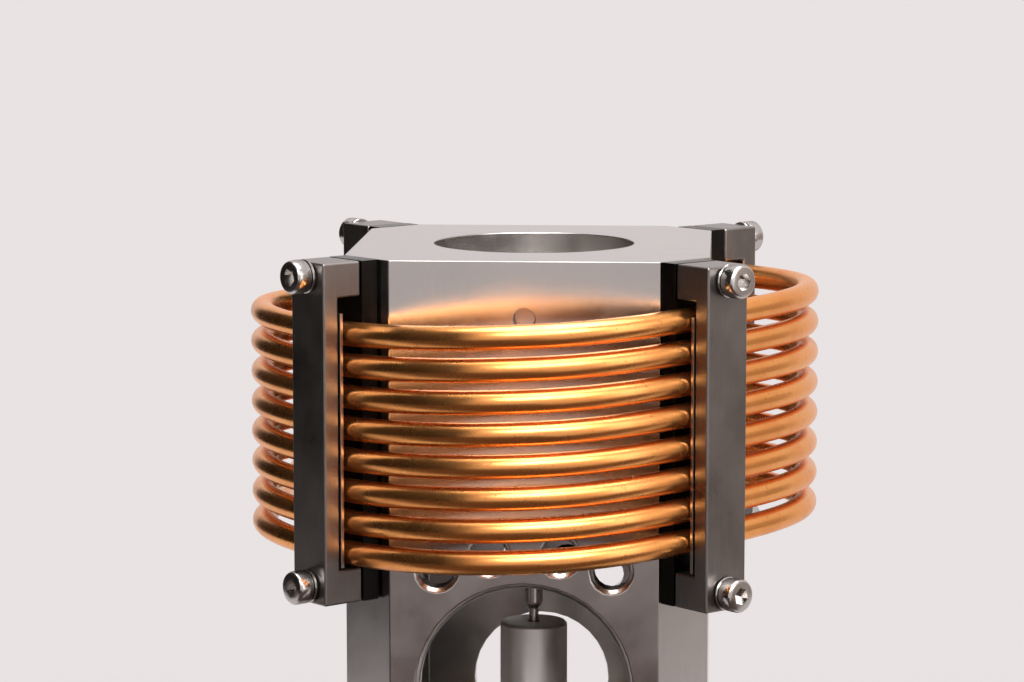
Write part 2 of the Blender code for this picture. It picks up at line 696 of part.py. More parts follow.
def make_displacer(parent):
    seat = DISPLACER_ROD_RADIUS + GAP
    top = -DISPLACER_TOP
    bottom = top - DISPLACER_LENGTH
    rod_top = bottom + 8.0
    body = [(0, top), (DISPLACER_RADIUS - 1, top), (DISPLACER_RADIUS, top - 1),
            (DISPLACER_RADIUS, bottom + 1), (DISPLACER_RADIUS - 1, bottom), (seat, bottom),
            (seat, rod_top), (0, rod_top)]
    place(smooth(turned("displacer", body, 32)), ALLOY, moved(z=TOP), parent)

    radius = DISPLACER_ROD_RADIUS
    stud = -CROSSHEAD_TOP - 6.0
    shoulder = -CROSSHEAD_TOP + 2.3
    rod = [(0, rod_top - GAP), (radius, rod_top - GAP), (radius, shoulder + 1.2),
           (radius - 0.35, shoulder + 0.4), (ROD_NECK_RADIUS, shoulder), (ROD_NECK_RADIUS, stud), (0, stud)]
    place(smooth(turned("displacer_rod", rod, 20)), BRIGHT, moved(z=TOP), parent)

    hole = ROD_NECK_RADIUS + GAP
    top = -CROSSHEAD_TOP
    trunk = -TRUNK_TOP
    foot = trunk - TRUNK_LENGTH
    inside = TRUNK_RADIUS - TRUNK_WALL
    profile = [(hole, top), (CROSSHEAD_RADIUS - 0.4, top), (CROSSHEAD_RADIUS, top - 0.4),
               (CROSSHEAD_RADIUS, trunk), (TRUNK_RADIUS - 0.6, trunk), (TRUNK_RADIUS, trunk - 0.6),
               (TRUNK_RADIUS, foot), (inside, foot), (inside, trunk - TRUNK_CROWN),
               (0, trunk - TRUNK_CROWN), (0, stud - GAP), (hole, stud - GAP)]
    head = closed_turned("crosshead", profile, 32)
    place(smooth(head), BRIGHT, moved(z=TOP), parent)


def closed_turned(name, profile, sides):
    """Turn an outline whose ends both lie on the axis or on its own wall, closing it first."""
    obj = turned(name, profile, sides)
    bm = bmesh.new()
    bm.from_mesh(obj.data)
    bm.verts.ensure_lookup_table()
    ends = [v for v in bm.verts if len(v.link_edges) == 1]
    if len(ends) == 2:
        bm.edges.new(ends)
    on_axis = [e for e in bm.edges if all(abs(v.co.x) < 1e-9 for v in e.verts)]
    bmesh.ops.delete(bm, geom=on_axis, context="EDGES")
    bm.to_mesh(obj.data)
    bm.free()
    return obj


def make_guide():
    bush_bore = TRUNK_RADIUS + FIT
    bush_radius = bush_bore + GUIDE_BUSH_WALL
    low = -GUIDE_PLATE_DROP - GUIDE_PLATE_THICKNESS
    outline = octagon(CAVITY_HALF - GAP, CAVITY_CHAMFER)
    plate = outline_plate("guide_plate", [outline], GUIDE_PLATE_THICKNESS, centred=False)
    place(plate, ALLOY, moved(z=TOP + low))
    hole = cylinder("guide_cutter", bush_radius + GAP, low - 1, -GUIDE_PLATE_DROP + 1, 40)
    cut(plate, hole, moved(z=TOP))

    flange_low = -GUIDE_PLATE_DROP + GAP
    top = flange_low + GUIDE_FLANGE
    foot = top - GUIDE_BUSH_LENGTH
    profile = [(GUIDE_FLANGE_RADIUS, top), (GUIDE_FLANGE_RADIUS, flange_low), (bush_radius, flange_low),
               (bush_radius, foot), (bush_bore, foot), (bush_bore, top)]
    place(smooth(turned("guide_bush", profile, 32)), BRONZE, moved(z=TOP))


# ---------------------------------------------------------------- crank, flywheel and rods


def along_x():
    return moved(z=CRANK_Z) @ facing((1, 0, 0))


def make_crank(parent):
    """One-piece crankshaft: two discs with the pin between them, in front of the axis at rest."""
    inner = CRANK_PIN_HALF
    outer = inner + CRANK_WEB_THICKNESS
    shaft = turned("crankshaft", [(0, SHAFT_RIGHT), (SHAFT_RADIUS - 0.4, SHAFT_RIGHT),
                                  (SHAFT_RADIUS, SHAFT_RIGHT - 0.4), (SHAFT_RADIUS, outer),
                                  (CRANK_WEB_RADIUS, outer), (CRANK_WEB_RADIUS, inner), (0, inner)], 32)
    place(shaft, BRIGHT, along_x(), parent)
    left = turned("crank_left", [(0, -inner), (CRANK_WEB_RADIUS, -inner), (CRANK_WEB_RADIUS, -outer),
                                 (SHAFT_RADIUS, -outer), (SHAFT_RADIUS, -SHAFT_LEFT + 0.4),
                                 (SHAFT_RADIUS - 0.4, -SHAFT_LEFT), (0, -SHAFT_LEFT)], 32)
    cut(shaft, left, along_x()).operation = "UNION"
    pin = cylinder("crank_pin", CRANK_PIN_RADIUS, -inner - 1, inner + 1, 24)
    tool = cut(shaft, pin, moved(0, -CRANK_THROW, CRANK_Z) @ facing((1, 0, 0)))
    tool.operation = "UNION"


def make_flywheel(parent):
    near = COLUMN_HALF + GAP + BEARING_FLANGE + GAP + 0.4
    hub_end = near + FLYWHEEL_HUB_LENGTH
    rim_near = near + (FLYWHEEL_HUB_LENGTH - FLYWHEEL_WIDTH) / 2
    rim_far = rim_near + FLYWHEEL_WIDTH
    web_near = (rim_near + rim_far - FLYWHEEL_WEB) / 2
    web_far = web_near + FLYWHEEL_WEB
    bore = SHAFT_RADIUS + GAP
    inner_rim = FLYWHEEL_RADIUS - FLYWHEEL_RIM
    profile = [(FLYWHEEL_HUB_RADIUS, hub_end), (FLYWHEEL_HUB_RADIUS, web_far), (inner_rim, web_far),
               (inner_rim, rim_far), (FLYWHEEL_RADIUS - 0.6, rim_far), (FLYWHEEL_RADIUS, rim_far - 0.6),
               (FLYWHEEL_RADIUS, rim_near + 0.6), (FLYWHEEL_RADIUS - 0.6, rim_near),
               (inner_rim, rim_near), (inner_rim, web_near), (FLYWHEEL_HUB_RADIUS, web_near),
               (FLYWHEEL_HUB_RADIUS, near), (bore, near), (bore, hub_end)]
    wheel = turned("flywheel", profile, 48)
    place(wheel, CAST, along_x(), parent)
    for index in range(FLYWHEEL_HOLES):
        turn = math.tau * (index + 0.5) / FLYWHEEL_HOLES
        y = FLYWHEEL_HOLE_CIRCLE * math.cos(turn)
        z = FLYWHEEL_HOLE_CIRCLE * math.sin(turn)
        hole = cylinder(f"flywheel_hole_{index}", FLYWHEEL_HOLE_RADIUS, web_near - 1, web_far + 1, 24)
        cut(wheel, hole, moved(0, y, CRANK_Z + z) @ facing((1, 0, 0)))

    nut = cylinder("flywheel_nut", NUT_RADIUS, hub_end + GAP, hub_end + GAP + NUT_THICKNESS, 6)
    place(nut, BRIGHT, along_x(), parent)
    thread = cylinder("nut_cutter", bore, hub_end - 1, hub_end + NUT_THICKNESS + 2, 24)
    cut(nut, thread, along_x())


def make_collar(parent):
    """The collar that keeps the shaft from moving endways."""
    near = COLUMN_HALF + GAP + BEARING_FLANGE + GAP + 0.4
    far = near + COLLAR_WIDTH
    bore = SHAFT_RADIUS + GAP
    outline = [(COLLAR_RADIUS, -near), (COLLAR_RADIUS, 0.5 - far), (COLLAR_RADIUS - 0.5, -far),
               (bore, -far), (bore, -near)]
    place(smooth(turned("shaft_collar", outline, 28)), BRIGHT, along_x(), parent)


def make_bearings():
    seat = COLUMN_HALF + GAP
    inside = CAVITY_HALF - BEARING_INSIDE
    bore = SHAFT_RADIUS + FIT
    profile = [(BEARING_FLANGE_RADIUS, seat + BEARING_FLANGE), (BEARING_FLANGE_RADIUS, seat),
               (BEARING_RADIUS, seat), (BEARING_RADIUS, inside), (bore, inside),
               (bore, seat + BEARING_FLANGE)]
    for name, direction in (("bearing_right", (1, 0, 0)), ("bearing_left", (-1, 0, 0))):
        bush = turned(name, profile, 24)
        place(smooth(bush), BRONZE, moved(z=CRANK_Z) @ facing(direction))


def rod_outline(length):
    """Outline of a connecting rod: big end at the origin, small end at +X."""
    half = SHANK_HALF_WIDTH
    big = math.degrees(math.asin(half / BIG_END_RADIUS))
    small = math.degrees(math.asin(half / SMALL_END_RADIUS))
    outline = circle(BIG_END_RADIUS, (0, 0), 24, big, 360.0 - 2 * big)
    outline += circle(SMALL_END_RADIUS, (length, 0), 16, 180.0 + small, 360.0 - 2 * small)
    return outline


def make_rod(name, length, axis, offset, parent):
    """A connecting rod on the crank pin, lying along an axis, with its wrist pin."""
    holes = [circle(CRANK_PIN_RADIUS + FIT, (0, 0), 24),
             circle(WRIST_PIN_RADIUS + GAP, (length, 0), 16)]
    rod = outline_plate(name, [rod_outline(length)] + holes, ROD_THICKNESS)
    along = Vector(axis)
    across = Vector((1, 0, 0))
    rows = Matrix((along, across.cross(along), across)).transposed().to_4x4()
    frame = moved(offset, -CRANK_THROW, CRANK_Z) @ rows
    place(rod, ALLOY, frame, parent)
    half = WRIST_PIN_LENGTH / 2
    pin = cylinder(name.replace("connecting_rod", "wrist_pin"), WRIST_PIN_RADIUS, -half, half, 16)
    place(pin, BRIGHT, frame @ moved(length, 0, 0), parent)


# ---------------------------------------------------------------- power cylinder


def along_y():
    """Frame of the power cylinder: local +Z points back, local Z = 0 is the crank's axis."""
    return moved(z=CRANK_Z) @ facing((0, 1, 0))


def make_power_cylinder():
    flange = POWER_FLANGE_START
    profile = [(POWER_CYLINDER_RADIUS, POWER_CYLINDER_END), (POWER_CYLINDER_RADIUS, flange + POWER_FLANGE),
               (POWER_FLANGE_RADIUS, flange + POWER_FLANGE), (POWER_FLANGE_RADIUS, flange),
               (POWER_CYLINDER_RADIUS, flange), (POWER_CYLINDER_RADIUS, POWER_CYLINDER_START),
               (POWER_BORE, POWER_CYLINDER_START), (POWER_BORE, POWER_CYLINDER_END)]
    barrel = turned("power_cylinder", profile, 32)
    place(barrel, CAST, along_y())
    port = cylinder("power_port_cutter", PIPE_RADIUS + GAP, POWER_BORE - 2, POWER_CYLINDER_RADIUS + 4, 16)
    cut(barrel, port, moved(0, UNION_LOW_Y, CRANK_Z))

    radius = POWER_HEAD_RADIUS
    end = HEAD_START + POWER_HEAD
    head = [(0, end), (radius - 0.6, end), (radius, end - 0.6), (radius, HEAD_START), (0, HEAD_START)]
    place(smooth(turned("power_cylinder_head", head, 32)), ALLOY, along_y())


def make_power_piston(parent):
    inside = POWER_PISTON_RADIUS - POWER_PISTON_WALL
    low = POWER_PISTON_SKIRT
    high = low + POWER_PISTON_LENGTH
    radius = POWER_PISTON_RADIUS
    profile = [(0, high), (radius - 0.4, high), (radius, high - 0.4), (radius, low), (inside, low),
               (inside, high - POWER_PISTON_CROWN), (0, high - POWER_PISTON_CROWN)]
    piston = closed_turned("power_piston", profile, 32)
    place(smooth(piston), BRONZE, along_y(), parent)


def union_profile(bore, length):
    return [(UNION_RADIUS - 0.5, length), (UNION_RADIUS, length - 0.5), (UNION_RADIUS, 0),
            (bore, 0), (bore, length)]


def make_transfer_pipe():
    """The gas passage from the cold end of the displacer's cylinder to the power cylinder."""
    top = TOP - PIPE_TOP_DROP
    low_top = CRANK_Z + POWER_CYLINDER_RADIUS
    route = [Vector((PIPE_X, COLUMN_HALF - 6, top)), Vector((PIPE_X, COLUMN_HALF - 4, top)),
             Vector((PIPE_X, COLUMN_HALF + 1.6, top)), Vector((PIPE_X, PIPE_Y - 0.8, top - 0.9)),
             Vector((PIPE_X, PIPE_Y, top - 3.4)), Vector((PIPE_X, PIPE_Y, top - 30)),
             Vector((PIPE_X, PIPE_Y, low_top + 20)), Vector((PIPE_X + 3, PIPE_Y + 2.2, low_top + 14)),
             Vector((-3, UNION_LOW_Y - 2, low_top + 11)), Vector((0, UNION_LOW_Y, low_top + 5.5)),
             Vector((0, UNION_LOW_Y, low_top - 1.5)), Vector((0, UNION_LOW_Y, low_top - 3))]
    tube("transfer_pipe", smooth_route(route, 4), PIPE_RADIUS, COPPER)

    bore = PIPE_RADIUS + GAP
    upper = turned("pipe_union_upper", union_profile(bore, UNION_UPPER_LENGTH), 12)
    place(upper, BRONZE, moved(PIPE_X, COLUMN_HALF + GAP, top) @ facing((0, 1, 0)))
    lower = turned("pipe_union_lower", union_profile(bore, UNION_LOWER_LENGTH), 12)
    place(lower, BRONZE, moved(0, UNION_LOW_Y, low_top + GAP))


# ---------------------------------------------------------------- assembly

for leftover in list(bpy.data.objects):
    bpy.data.objects.remove(leftover, do_unlink=True)

PARTS = new_collection("stirling_engine")
CUTTERS = new_collection("cutters")

make_base()
make_column()
make_clamps()
make_coil()
make_hot_end()
make_gland()
make_guide()
make_bearings()
make_power_cylinder()
make_transfer_pipe()

displacer_axis = joint_empty("displacer_slide", 0, 0, TOP - TRUNK_TOP)
crank_axis = joint_empty("crank_spin", 0, 0, CRANK_Z)
crank_pin_axis = joint_empty("crank_pin_pivots", 0, -CRANK_THROW, CRANK_Z)
power_axis = joint_empty("power_piston_slide", 0, POWER_PISTON_SKIRT, CRANK_Z)

make_displacer(displacer_axis)
make_crank(crank_axis)
make_flywheel(crank_axis)
make_collar(crank_axis)
make_rod("displacer_connecting_rod", DISPLACER_ROD_LENGTH, (0, 0, 1), -ROD_OFFSET, crank_pin_axis)
make_rod("power_connecting_rod", POWER_ROD_LENGTH, (0, 1, 0), ROD_OFFSET, crank_pin_axis)
make_power_piston(power_axis)
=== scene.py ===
"""Looks of a desktop Stirling engine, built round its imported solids.

Run as a script. The frame is loaded first, then each operator finishes one group of pieces.
Everything is in metres, with the front at -Y and the table at Z = 0.
"""

import json
import math

import bmesh
import bpy
from mathutils import Matrix, Vector


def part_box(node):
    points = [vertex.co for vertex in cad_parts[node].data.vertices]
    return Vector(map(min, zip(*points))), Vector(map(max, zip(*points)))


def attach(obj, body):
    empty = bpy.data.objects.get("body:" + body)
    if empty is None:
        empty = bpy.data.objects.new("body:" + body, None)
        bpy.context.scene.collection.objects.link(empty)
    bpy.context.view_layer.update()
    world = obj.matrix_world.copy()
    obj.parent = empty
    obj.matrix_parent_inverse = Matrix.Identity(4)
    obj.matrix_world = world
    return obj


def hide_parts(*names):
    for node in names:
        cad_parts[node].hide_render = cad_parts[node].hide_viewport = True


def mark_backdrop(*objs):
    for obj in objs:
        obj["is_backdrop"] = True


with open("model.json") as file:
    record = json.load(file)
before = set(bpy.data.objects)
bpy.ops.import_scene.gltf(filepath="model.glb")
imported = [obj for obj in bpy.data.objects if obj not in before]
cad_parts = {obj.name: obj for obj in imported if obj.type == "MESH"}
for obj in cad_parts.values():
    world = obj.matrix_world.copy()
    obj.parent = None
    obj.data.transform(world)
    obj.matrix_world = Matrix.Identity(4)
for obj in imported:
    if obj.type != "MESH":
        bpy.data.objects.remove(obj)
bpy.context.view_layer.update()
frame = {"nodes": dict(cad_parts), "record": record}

bl_info = {
    "name": "Stirling Engine Finisher",
    "version": (1, 0, 0),
    "blender": (4, 5, 0),
    "location": "View3D > Sidebar > Stirling",
    "description": "Finishes a desktop Stirling engine: column, clamped coil, crosshead, crank and cylinder",
    "category": "Object",
}

MM = 0.001
COLUMN_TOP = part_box("column")[1].z
# Direction of each clamp from the column's axis, in degrees from +X.
CORNERS = {"front_left": 223.4, "front_right": 313.4, "back_right": 43.4, "back_left": 133.4}
ENDS = ("upper", "lower")
GAP = 0.3 * MM                  # between touching pieces
CLAMP_FACE = 47.97 * MM         # outer face of a clamp bar, from the column's axis
SCREW_TIP = 30.77 * MM          # end of a clamp screw, from the column's axis
SCREW_RADIUS = 1.45 * MM
HEAD_HEIGHT = 2.65 * MM
SOCKET_DEPTH = 1.5 * MM
HEAD_FLUTES = 36
WASHER_BORE = 1.75 * MM
WASHER_RADIUS = 2.75 * MM
WASHER_THICKNESS = 0.4 * MM
WINDING_START = -2340.0         # degrees, where the lower tail leaves the winding
WINDING_END = 425.0             # degrees, where the upper tail leaves it
WINDING_STEP = 3.0
# Height of the winding above a true helix, at every 45 degrees from the front left clamp.
COIL_LIFTS = (0.0, 1.1 * MM, 1.8 * MM, 2.2 * MM, 1.3 * MM, 1.2 * MM, 1.0 * MM, 1.1 * MM)

# ---------------------------------------------------------------- settings


class EngineSizes(bpy.types.PropertyGroup):
    """Sizes that the finish adds to the solids."""

    edge_break: bpy.props.FloatProperty(
        name="Edge break", description="Width of the broken edge on machined pieces",
        default=0.22 * MM, min=0.0, unit="LENGTH")
    fine_edge: bpy.props.FloatProperty(
        name="Fine edge", description="Width of the broken edge on small turned pieces",
        default=0.12 * MM, min=0.0, unit="LENGTH")
    tube_radius: bpy.props.FloatProperty(
        name="Coil tube radius", description="Outside radius of the coil's tube",
        default=2.0 * MM, min=0.0, unit="LENGTH")
    coil_side_radius: bpy.props.FloatProperty(
        name="Coil radius at the sides", description="Tube centre from the axis, half way between clamps",
        default=46.25 * MM, min=0.0, unit="LENGTH")
    coil_clamp_radius: bpy.props.FloatProperty(
        name="Coil radius at the clamps", description="Tube centre from the axis, under a clamp bar",
        default=41.77 * MM, min=0.0, unit="LENGTH")
    coil_pitch: bpy.props.FloatProperty(
        name="Coil pitch", description="Height gained in one turn",
        default=5.15 * MM, min=0.0, unit="LENGTH")
    coil_top_drop: bpy.props.FloatProperty(
        name="Top pass", description="Top pass of the front left clamp, below the column's top",
        default=11.95 * MM, min=0.0, unit="LENGTH")
    pipe_radius: bpy.props.FloatProperty(
        name="Transfer pipe radius", description="Outside radius of the transfer pipe",
        default=1.5 * MM, min=0.0, unit="LENGTH")
    head_radius: bpy.props.FloatProperty(
        name="Screw head radius", description="Radius of a clamp screw's head",
        default=2.75 * MM, min=0.0, unit="LENGTH")
    socket_radius: bpy.props.FloatProperty(
        name="Socket radius", description="Radius across the corners of a screw's socket",
        default=1.45 * MM, min=0.0, unit="LENGTH")


class EngineColours(bpy.types.PropertyGroup):
    """Colours of the finishes."""

    def colour(label, text, value):
        return bpy.props.FloatVectorProperty(
            name=label, description=text, subtype="COLOR", size=3, default=value, min=0.0, max=1.0)

    steel: colour("Polished steel", "Column and the parts of its bore", (0.56, 0.53, 0.51))
    bright: colour("Bright steel", "Screws, rods and crankshaft", (0.60, 0.57, 0.55))
    lapped: colour("Lapped steel", "Crosshead", (0.92, 0.89, 0.87))
    dark: colour("Blackened steel", "Grooved bars", (0.045, 0.042, 0.04))
    ground: colour("Ground steel", "Clamp bars", (0.31, 0.285, 0.27))
    strip: colour("Strip steel", "Liner strips", (0.36, 0.31, 0.28))
    copper: colour("Copper", "Coil and transfer pipe", (0.93, 0.40, 0.12))
    tarnish: colour("Copper tarnish", "Darker patches on the tube", (0.72, 0.22, 0.05))
    bronze: colour("Bronze", "Bushes and unions", (0.62, 0.40, 0.18))
    cast: colour("Cast iron", "Flywheel and power cylinder", (0.13, 0.13, 0.135))
    alloy: colour("Alloy", "Plates, displacer and connecting rods", (0.60, 0.61, 0.62))
    anodised: colour("Anodised alloy", "Base plate", (0.03, 0.03, 0.033))
    rubber: colour("Rubber", "Feet", (0.018, 0.018, 0.018))
    backdrop: colour("Backdrop", "Floor and surroundings", (0.806, 0.757, 0.755))


class StudioSettings(bpy.types.PropertyGroup):
    """Camera and lights."""

    azimuth: bpy.props.FloatProperty(
        name="Azimuth", description="Camera's turn from the front towards +X",
        default=math.radians(3.5), subtype="ANGLE")
    elevation: bpy.props.FloatProperty(
        name="Elevation", description="Camera's downward tilt",
        default=math.radians(7.5), subtype="ANGLE")
    distance: bpy.props.FloatProperty(
        name="Distance", description="Camera from the column's axis, on the level",
        default=0.5998, unit="LENGTH")
    height: bpy.props.FloatProperty(
        name="Height", description="Camera above the column's top",
        default=0.06207, unit="LENGTH")
    aside: bpy.props.FloatProperty(
        name="Aside", description="Camera's sideways move, to the left",
        default=0.00375, unit="LENGTH")
    lens: bpy.props.FloatProperty(
        name="Lens", description="Focal length in millimetres", default=124.84)
    surround: bpy.props.FloatProperty(
        name="Surround", description="Strength of the pale surroundings", default=1.03)
    top_power: bpy.props.FloatProperty(
        name="Top light", description="Power of the softbox above", default=11.0, unit="POWER")
    front_power: bpy.props.FloatProperty(
        name="Front light", description="Power of the softbox above the camera", default=9.0, unit="POWER")
    side_power: bpy.props.FloatProperty(
        name="Side light", description="Power of the softbox on the right", default=1.5, unit="POWER")


def sizes():
    return bpy.context.scene.stirling_sizes


def colours():
    return bpy.context.scene.stirling_colours


def studio():
    return bpy.context.scene.stirling_studio


# ---------------------------------------------------------------- finishes


class Finish:
    """A node material in the making, on Object coordinates unless it is told otherwise."""

    def __init__(self, name):
        self.material = bpy.data.materials.new(name)
        self.material.use_nodes = True
        self.tree = self.material.node_tree
        self.shader = self.tree.nodes["Principled BSDF"]
        self.coords = self.add("ShaderNodeTexCoord")
        self.output = "Object"

    def add(self, kind, **values):
        node = self.tree.nodes.new(kind)
        for name, value in values.items():
            setattr(node, name, value)
        return node

    def link(self, source, target):
        self.tree.links.new(source, target)

    def noise(self, scale, stretch=(1.0, 1.0, 1.0), detail=4.0, roughness=0.6):
        """Noise stretched along an axis when its stretch is small."""
        mapping = self.add("ShaderNodeMapping")
        mapping.inputs["Scale"].default_value = stretch
        self.link(self.coords.outputs[self.output], mapping.inputs["Vector"])
        noise = self.add("ShaderNodeTexNoise")
        noise.inputs["Scale"].default_value = scale
        noise.inputs["Detail"].default_value = detail
        noise.inputs["Roughness"].default_value = roughness
        self.link(mapping.outputs["Vector"], noise.inputs["Vector"])
        return noise.outputs["Fac"]

    def blend(self, factor, low, high, start=0.35, end=0.65):
        """A colour that runs from low to high as the factor goes from start to end."""
        ramp = self.add("ShaderNodeValToRGB")
        ramp.color_ramp.elements[0].position = start
        ramp.color_ramp.elements[0].color = (*low, 1.0)
        ramp.color_ramp.elements[1].position = end
        ramp.color_ramp.elements[1].color = (*high, 1.0)
        self.link(factor, ramp.inputs["Fac"])
        return ramp.outputs["Color"]

    def spread(self, factor, low, high, start=0.3, end=0.7):
        """A number that runs from low to high as the factor goes from start to end."""
        spread = self.add("ShaderNodeMapRange")
        spread.inputs["From Min"].default_value = start
        spread.inputs["From Max"].default_value = end
        spread.inputs["To Min"].default_value = low
        spread.inputs["To Max"].default_value = high
        self.link(factor, spread.inputs["Value"])
        return spread.outputs["Result"]

    def mixed(self, factor, first, second, mode="MIX"):
        mix = self.add("ShaderNodeMix", data_type="RGBA", blend_type=mode)
        if isinstance(factor, float):
            mix.inputs["Factor"].default_value = factor
        else:
            self.link(factor, mix.inputs["Factor"])
        self.link(first, mix.inputs["A"])
        self.link(second, mix.inputs["B"])
        return mix.outputs["Result"]

    def bump(self, height, strength, distance, below=None):
        bump = self.add("ShaderNodeBump")
        bump.inputs["Strength"].default_value = strength
        bump.inputs["Distance"].default_value = distance
        self.link(height, bump.inputs["Height"])
        if below is not None:
            self.link(below, bump.inputs["Normal"])
        return bump.outputs["Normal"]

    def done(self, colour, roughness, normal=None, metallic=1.0):
        self.link(colour, self.shader.inputs["Base Color"])
        self.link(roughness, self.shader.inputs["Roughness"])
        if normal is not None:
            self.link(normal, self.shader.inputs["Normal"])
        self.shader.inputs["Metallic"].default_value = metallic
        return self.material


def shaded(colour, factor):
    return tuple(channel * factor for channel in colour)


def machined(name, colour, rough, grain=(1.0, 1.0, 0.03), depth=0.06, tone=0.8, spots=0.0):
    """Machined or ground metal: fine lines one way, soft cloudy patches and a few stains."""
    finish = Finish(name)
    lines = finish.noise(5200.0, grain, 3.0, 0.7)
    broad = finish.noise(900.0, grain, 2.0, 0.5)
    clouds = finish.noise(70.0, (1.0, 1.0, 1.0), 5.0, 0.65)
    fine = finish.blend(lines, shaded(colour, tone), colour, 0.3, 0.7)
    patch = finish.blend(clouds, shaded(colour, 0.82), shaded(colour, 1.08), 0.3, 0.7)
    base = finish.mixed(0.5, fine, patch)
    if spots:
        marks = finish.noise(420.0, (1.0, 1.0, 1.0), 6.0, 0.75)
        stain = finish.blend(marks, shaded(colour, 0.35), shaded(colour, 1.0), 0.30, 0.42)
        base = finish.mixed(spots, base, stain, "MULTIPLY")
    uneven = finish.spread(clouds, rough * 0.8, rough * 1.3)
    normal = finish.bump(lines, depth, 0.00004)
    normal = finish.bump(broad, depth * 0.7, 0.0001, normal)
    return finish.done(base, uneven, normal)


def turned_steel(name, colour, rough, tone=0.82):
    """Bright turned steel, with faint rings and handling marks."""
    finish = Finish(name)
    clouds = finish.noise(160.0, (1.0, 1.0, 1.0), 5.0, 0.6)
    rings = finish.noise(2600.0, (0.12, 0.12, 1.0), 3.0, 0.6)
    base = finish.blend(clouds, shaded(colour, tone), colour, 0.3, 0.7)
    uneven = finish.spread(clouds, rough * 0.75, rough * 1.35)
    return finish.done(base, uneven, finish.bump(rings, 0.05, 0.00004))


def drawn_copper(name, colour, tarnish):
    """Drawn copper tube: lines along the tube, warm tarnish in patches and small dark specks."""
    finish = Finish(name)
    finish.output = "UV"
    drawn = finish.noise(60.0, (0.25, 14.0, 1.0), 4.0, 0.6)
    finish.output = "Object"
    clouds = finish.noise(95.0, (1.0, 1.0, 1.0), 6.0, 0.6)
    specks = finish.noise(1500.0, (1.0, 1.0, 1.0), 3.0, 0.6)
    base = finish.blend(clouds, tarnish, colour, 0.22, 0.52)
    streak = finish.blend(drawn, shaded(colour, 0.8), shaded(colour, 1.05), 0.3, 0.7)
    base = finish.mixed(0.4, base, streak)
    marks = finish.blend(specks, (0.55, 0.42, 0.36), (1.0, 1.0, 1.0), 0.28, 0.38)
    base = finish.mixed(0.6, base, marks, "MULTIPLY")
    uneven = finish.spread(clouds, 0.34, 0.22)
    normal = finish.bump(drawn, 0.05, 0.00005)
    normal = finish.bump(specks, 0.04, 0.00005, normal)
    return finish.done(base, uneven, normal)


def rough_casting(name, colour):
    """Cast iron with a fine open grain, laid the same all over, the machined rim included."""
    finish = Finish(name)
    grain = finish.noise(1900.0, (1.0, 1.0, 1.0), 6.0, 0.7)
    clouds = finish.noise(60.0, (1.0, 1.0, 1.0), 5.0, 0.6)
    base = finish.blend(clouds, shaded(colour, 0.75), shaded(colour, 1.25), 0.3, 0.7)
    uneven = finish.spread(grain, 0.36, 0.55)
    return finish.done(base, uneven, finish.bump(grain, 0.18, 0.00012), 0.9)


def anodised_alloy(name, colour):
    """Black anodised plate: satin, with faint mill lines and dust."""
    finish = Finish(name)
    lines = finish.noise(2400.0, (0.03, 1.0, 1.0), 3.0, 0.6)
    dust = finish.noise(700.0, (1.0, 1.0, 1.0), 6.0, 0.8)
    base = finish.blend(dust, colour, shaded(colour, 1.9), 0.45, 0.78)
    uneven = finish.spread(lines, 0.34, 0.46)
    return finish.done(base, uneven, finish.bump(lines, 0.06, 0.00005), 0.4)


def moulded_rubber(name, colour):
    finish = Finish(name)
    grain = finish.noise(2600.0, (1.0, 1.0, 1.0), 4.0, 0.6)
    base = finish.blend(grain, shaded(colour, 0.8), shaded(colour, 1.5), 0.3, 0.7)
    uneven = finish.spread(grain, 0.65, 0.85)
    return finish.done(base, uneven, finish.bump(grain, 0.2, 0.0001), 0.0)


def finish_for(slot):
    """The material of a slot, made once."""
    tint = colours()
    makers = {
        "polished_steel": lambda: machined("polished_steel", tuple(tint.steel), 0.21, depth=0.05),
        "bright_steel": lambda: turned_steel("bright_steel", tuple(tint.bright), 0.19),
        "lapped_steel": lambda: turned_steel("lapped_steel", tuple(tint.lapped), 0.45, 0.93),
        "blackened_steel": lambda: machined("blackened_steel", tuple(tint.dark), 0.30, tone=0.7, spots=0.5),
        "ground_steel": lambda: machined("ground_steel", tuple(tint.ground), 0.33, tone=0.75, spots=0.35),
        "strip_steel": lambda: machined("strip_steel", tuple(tint.strip), 0.30),
        "copper": lambda: drawn_copper("copper", tuple(tint.copper), tuple(tint.tarnish)),
        "bronze": lambda: turned_steel("bronze", tuple(tint.bronze), 0.24),
        "cast_iron": lambda: rough_casting("cast_iron", tuple(tint.cast)),
        "alloy": lambda: machined("alloy", tuple(tint.alloy), 0.26, (0.05, 1.0, 1.0)),
        "anodised": lambda: anodised_alloy("anodised", tuple(tint.anodised)),
        "rubber": lambda: moulded_rubber("rubber", tuple(tint.rubber)),
    }
    name = f"finish_{slot}"
    if name not in bpy.data.materials:
        made = makers[slot]()
        made.name = name
    return bpy.data.materials[name]


# ---------------------------------------------------------------- building


SLOTS = {entry["node"]: entry["material_slot"] for entry in frame["record"]["subparts"]}
BODIES = {node: body for body, nodes in frame["record"]["behaviour"]["bodies"].items() for node in nodes}


def show(obj, node):
    """Hand a finished piece to the frame in place of its solid."""
    bpy.context.scene.collection.objects.link(obj)
    obj.data.materials.clear()
    obj.data.materials.append(finish_for(SLOTS[node]))
    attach(obj, BODIES[node])
    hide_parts(node)
    return obj


def object_from(name, bm):
    mesh = bpy.data.meshes.new(name)
    bm.to_mesh(mesh)
    bm.free()
    mesh.shade_smooth()
    return bpy.data.objects.new(name, mesh)


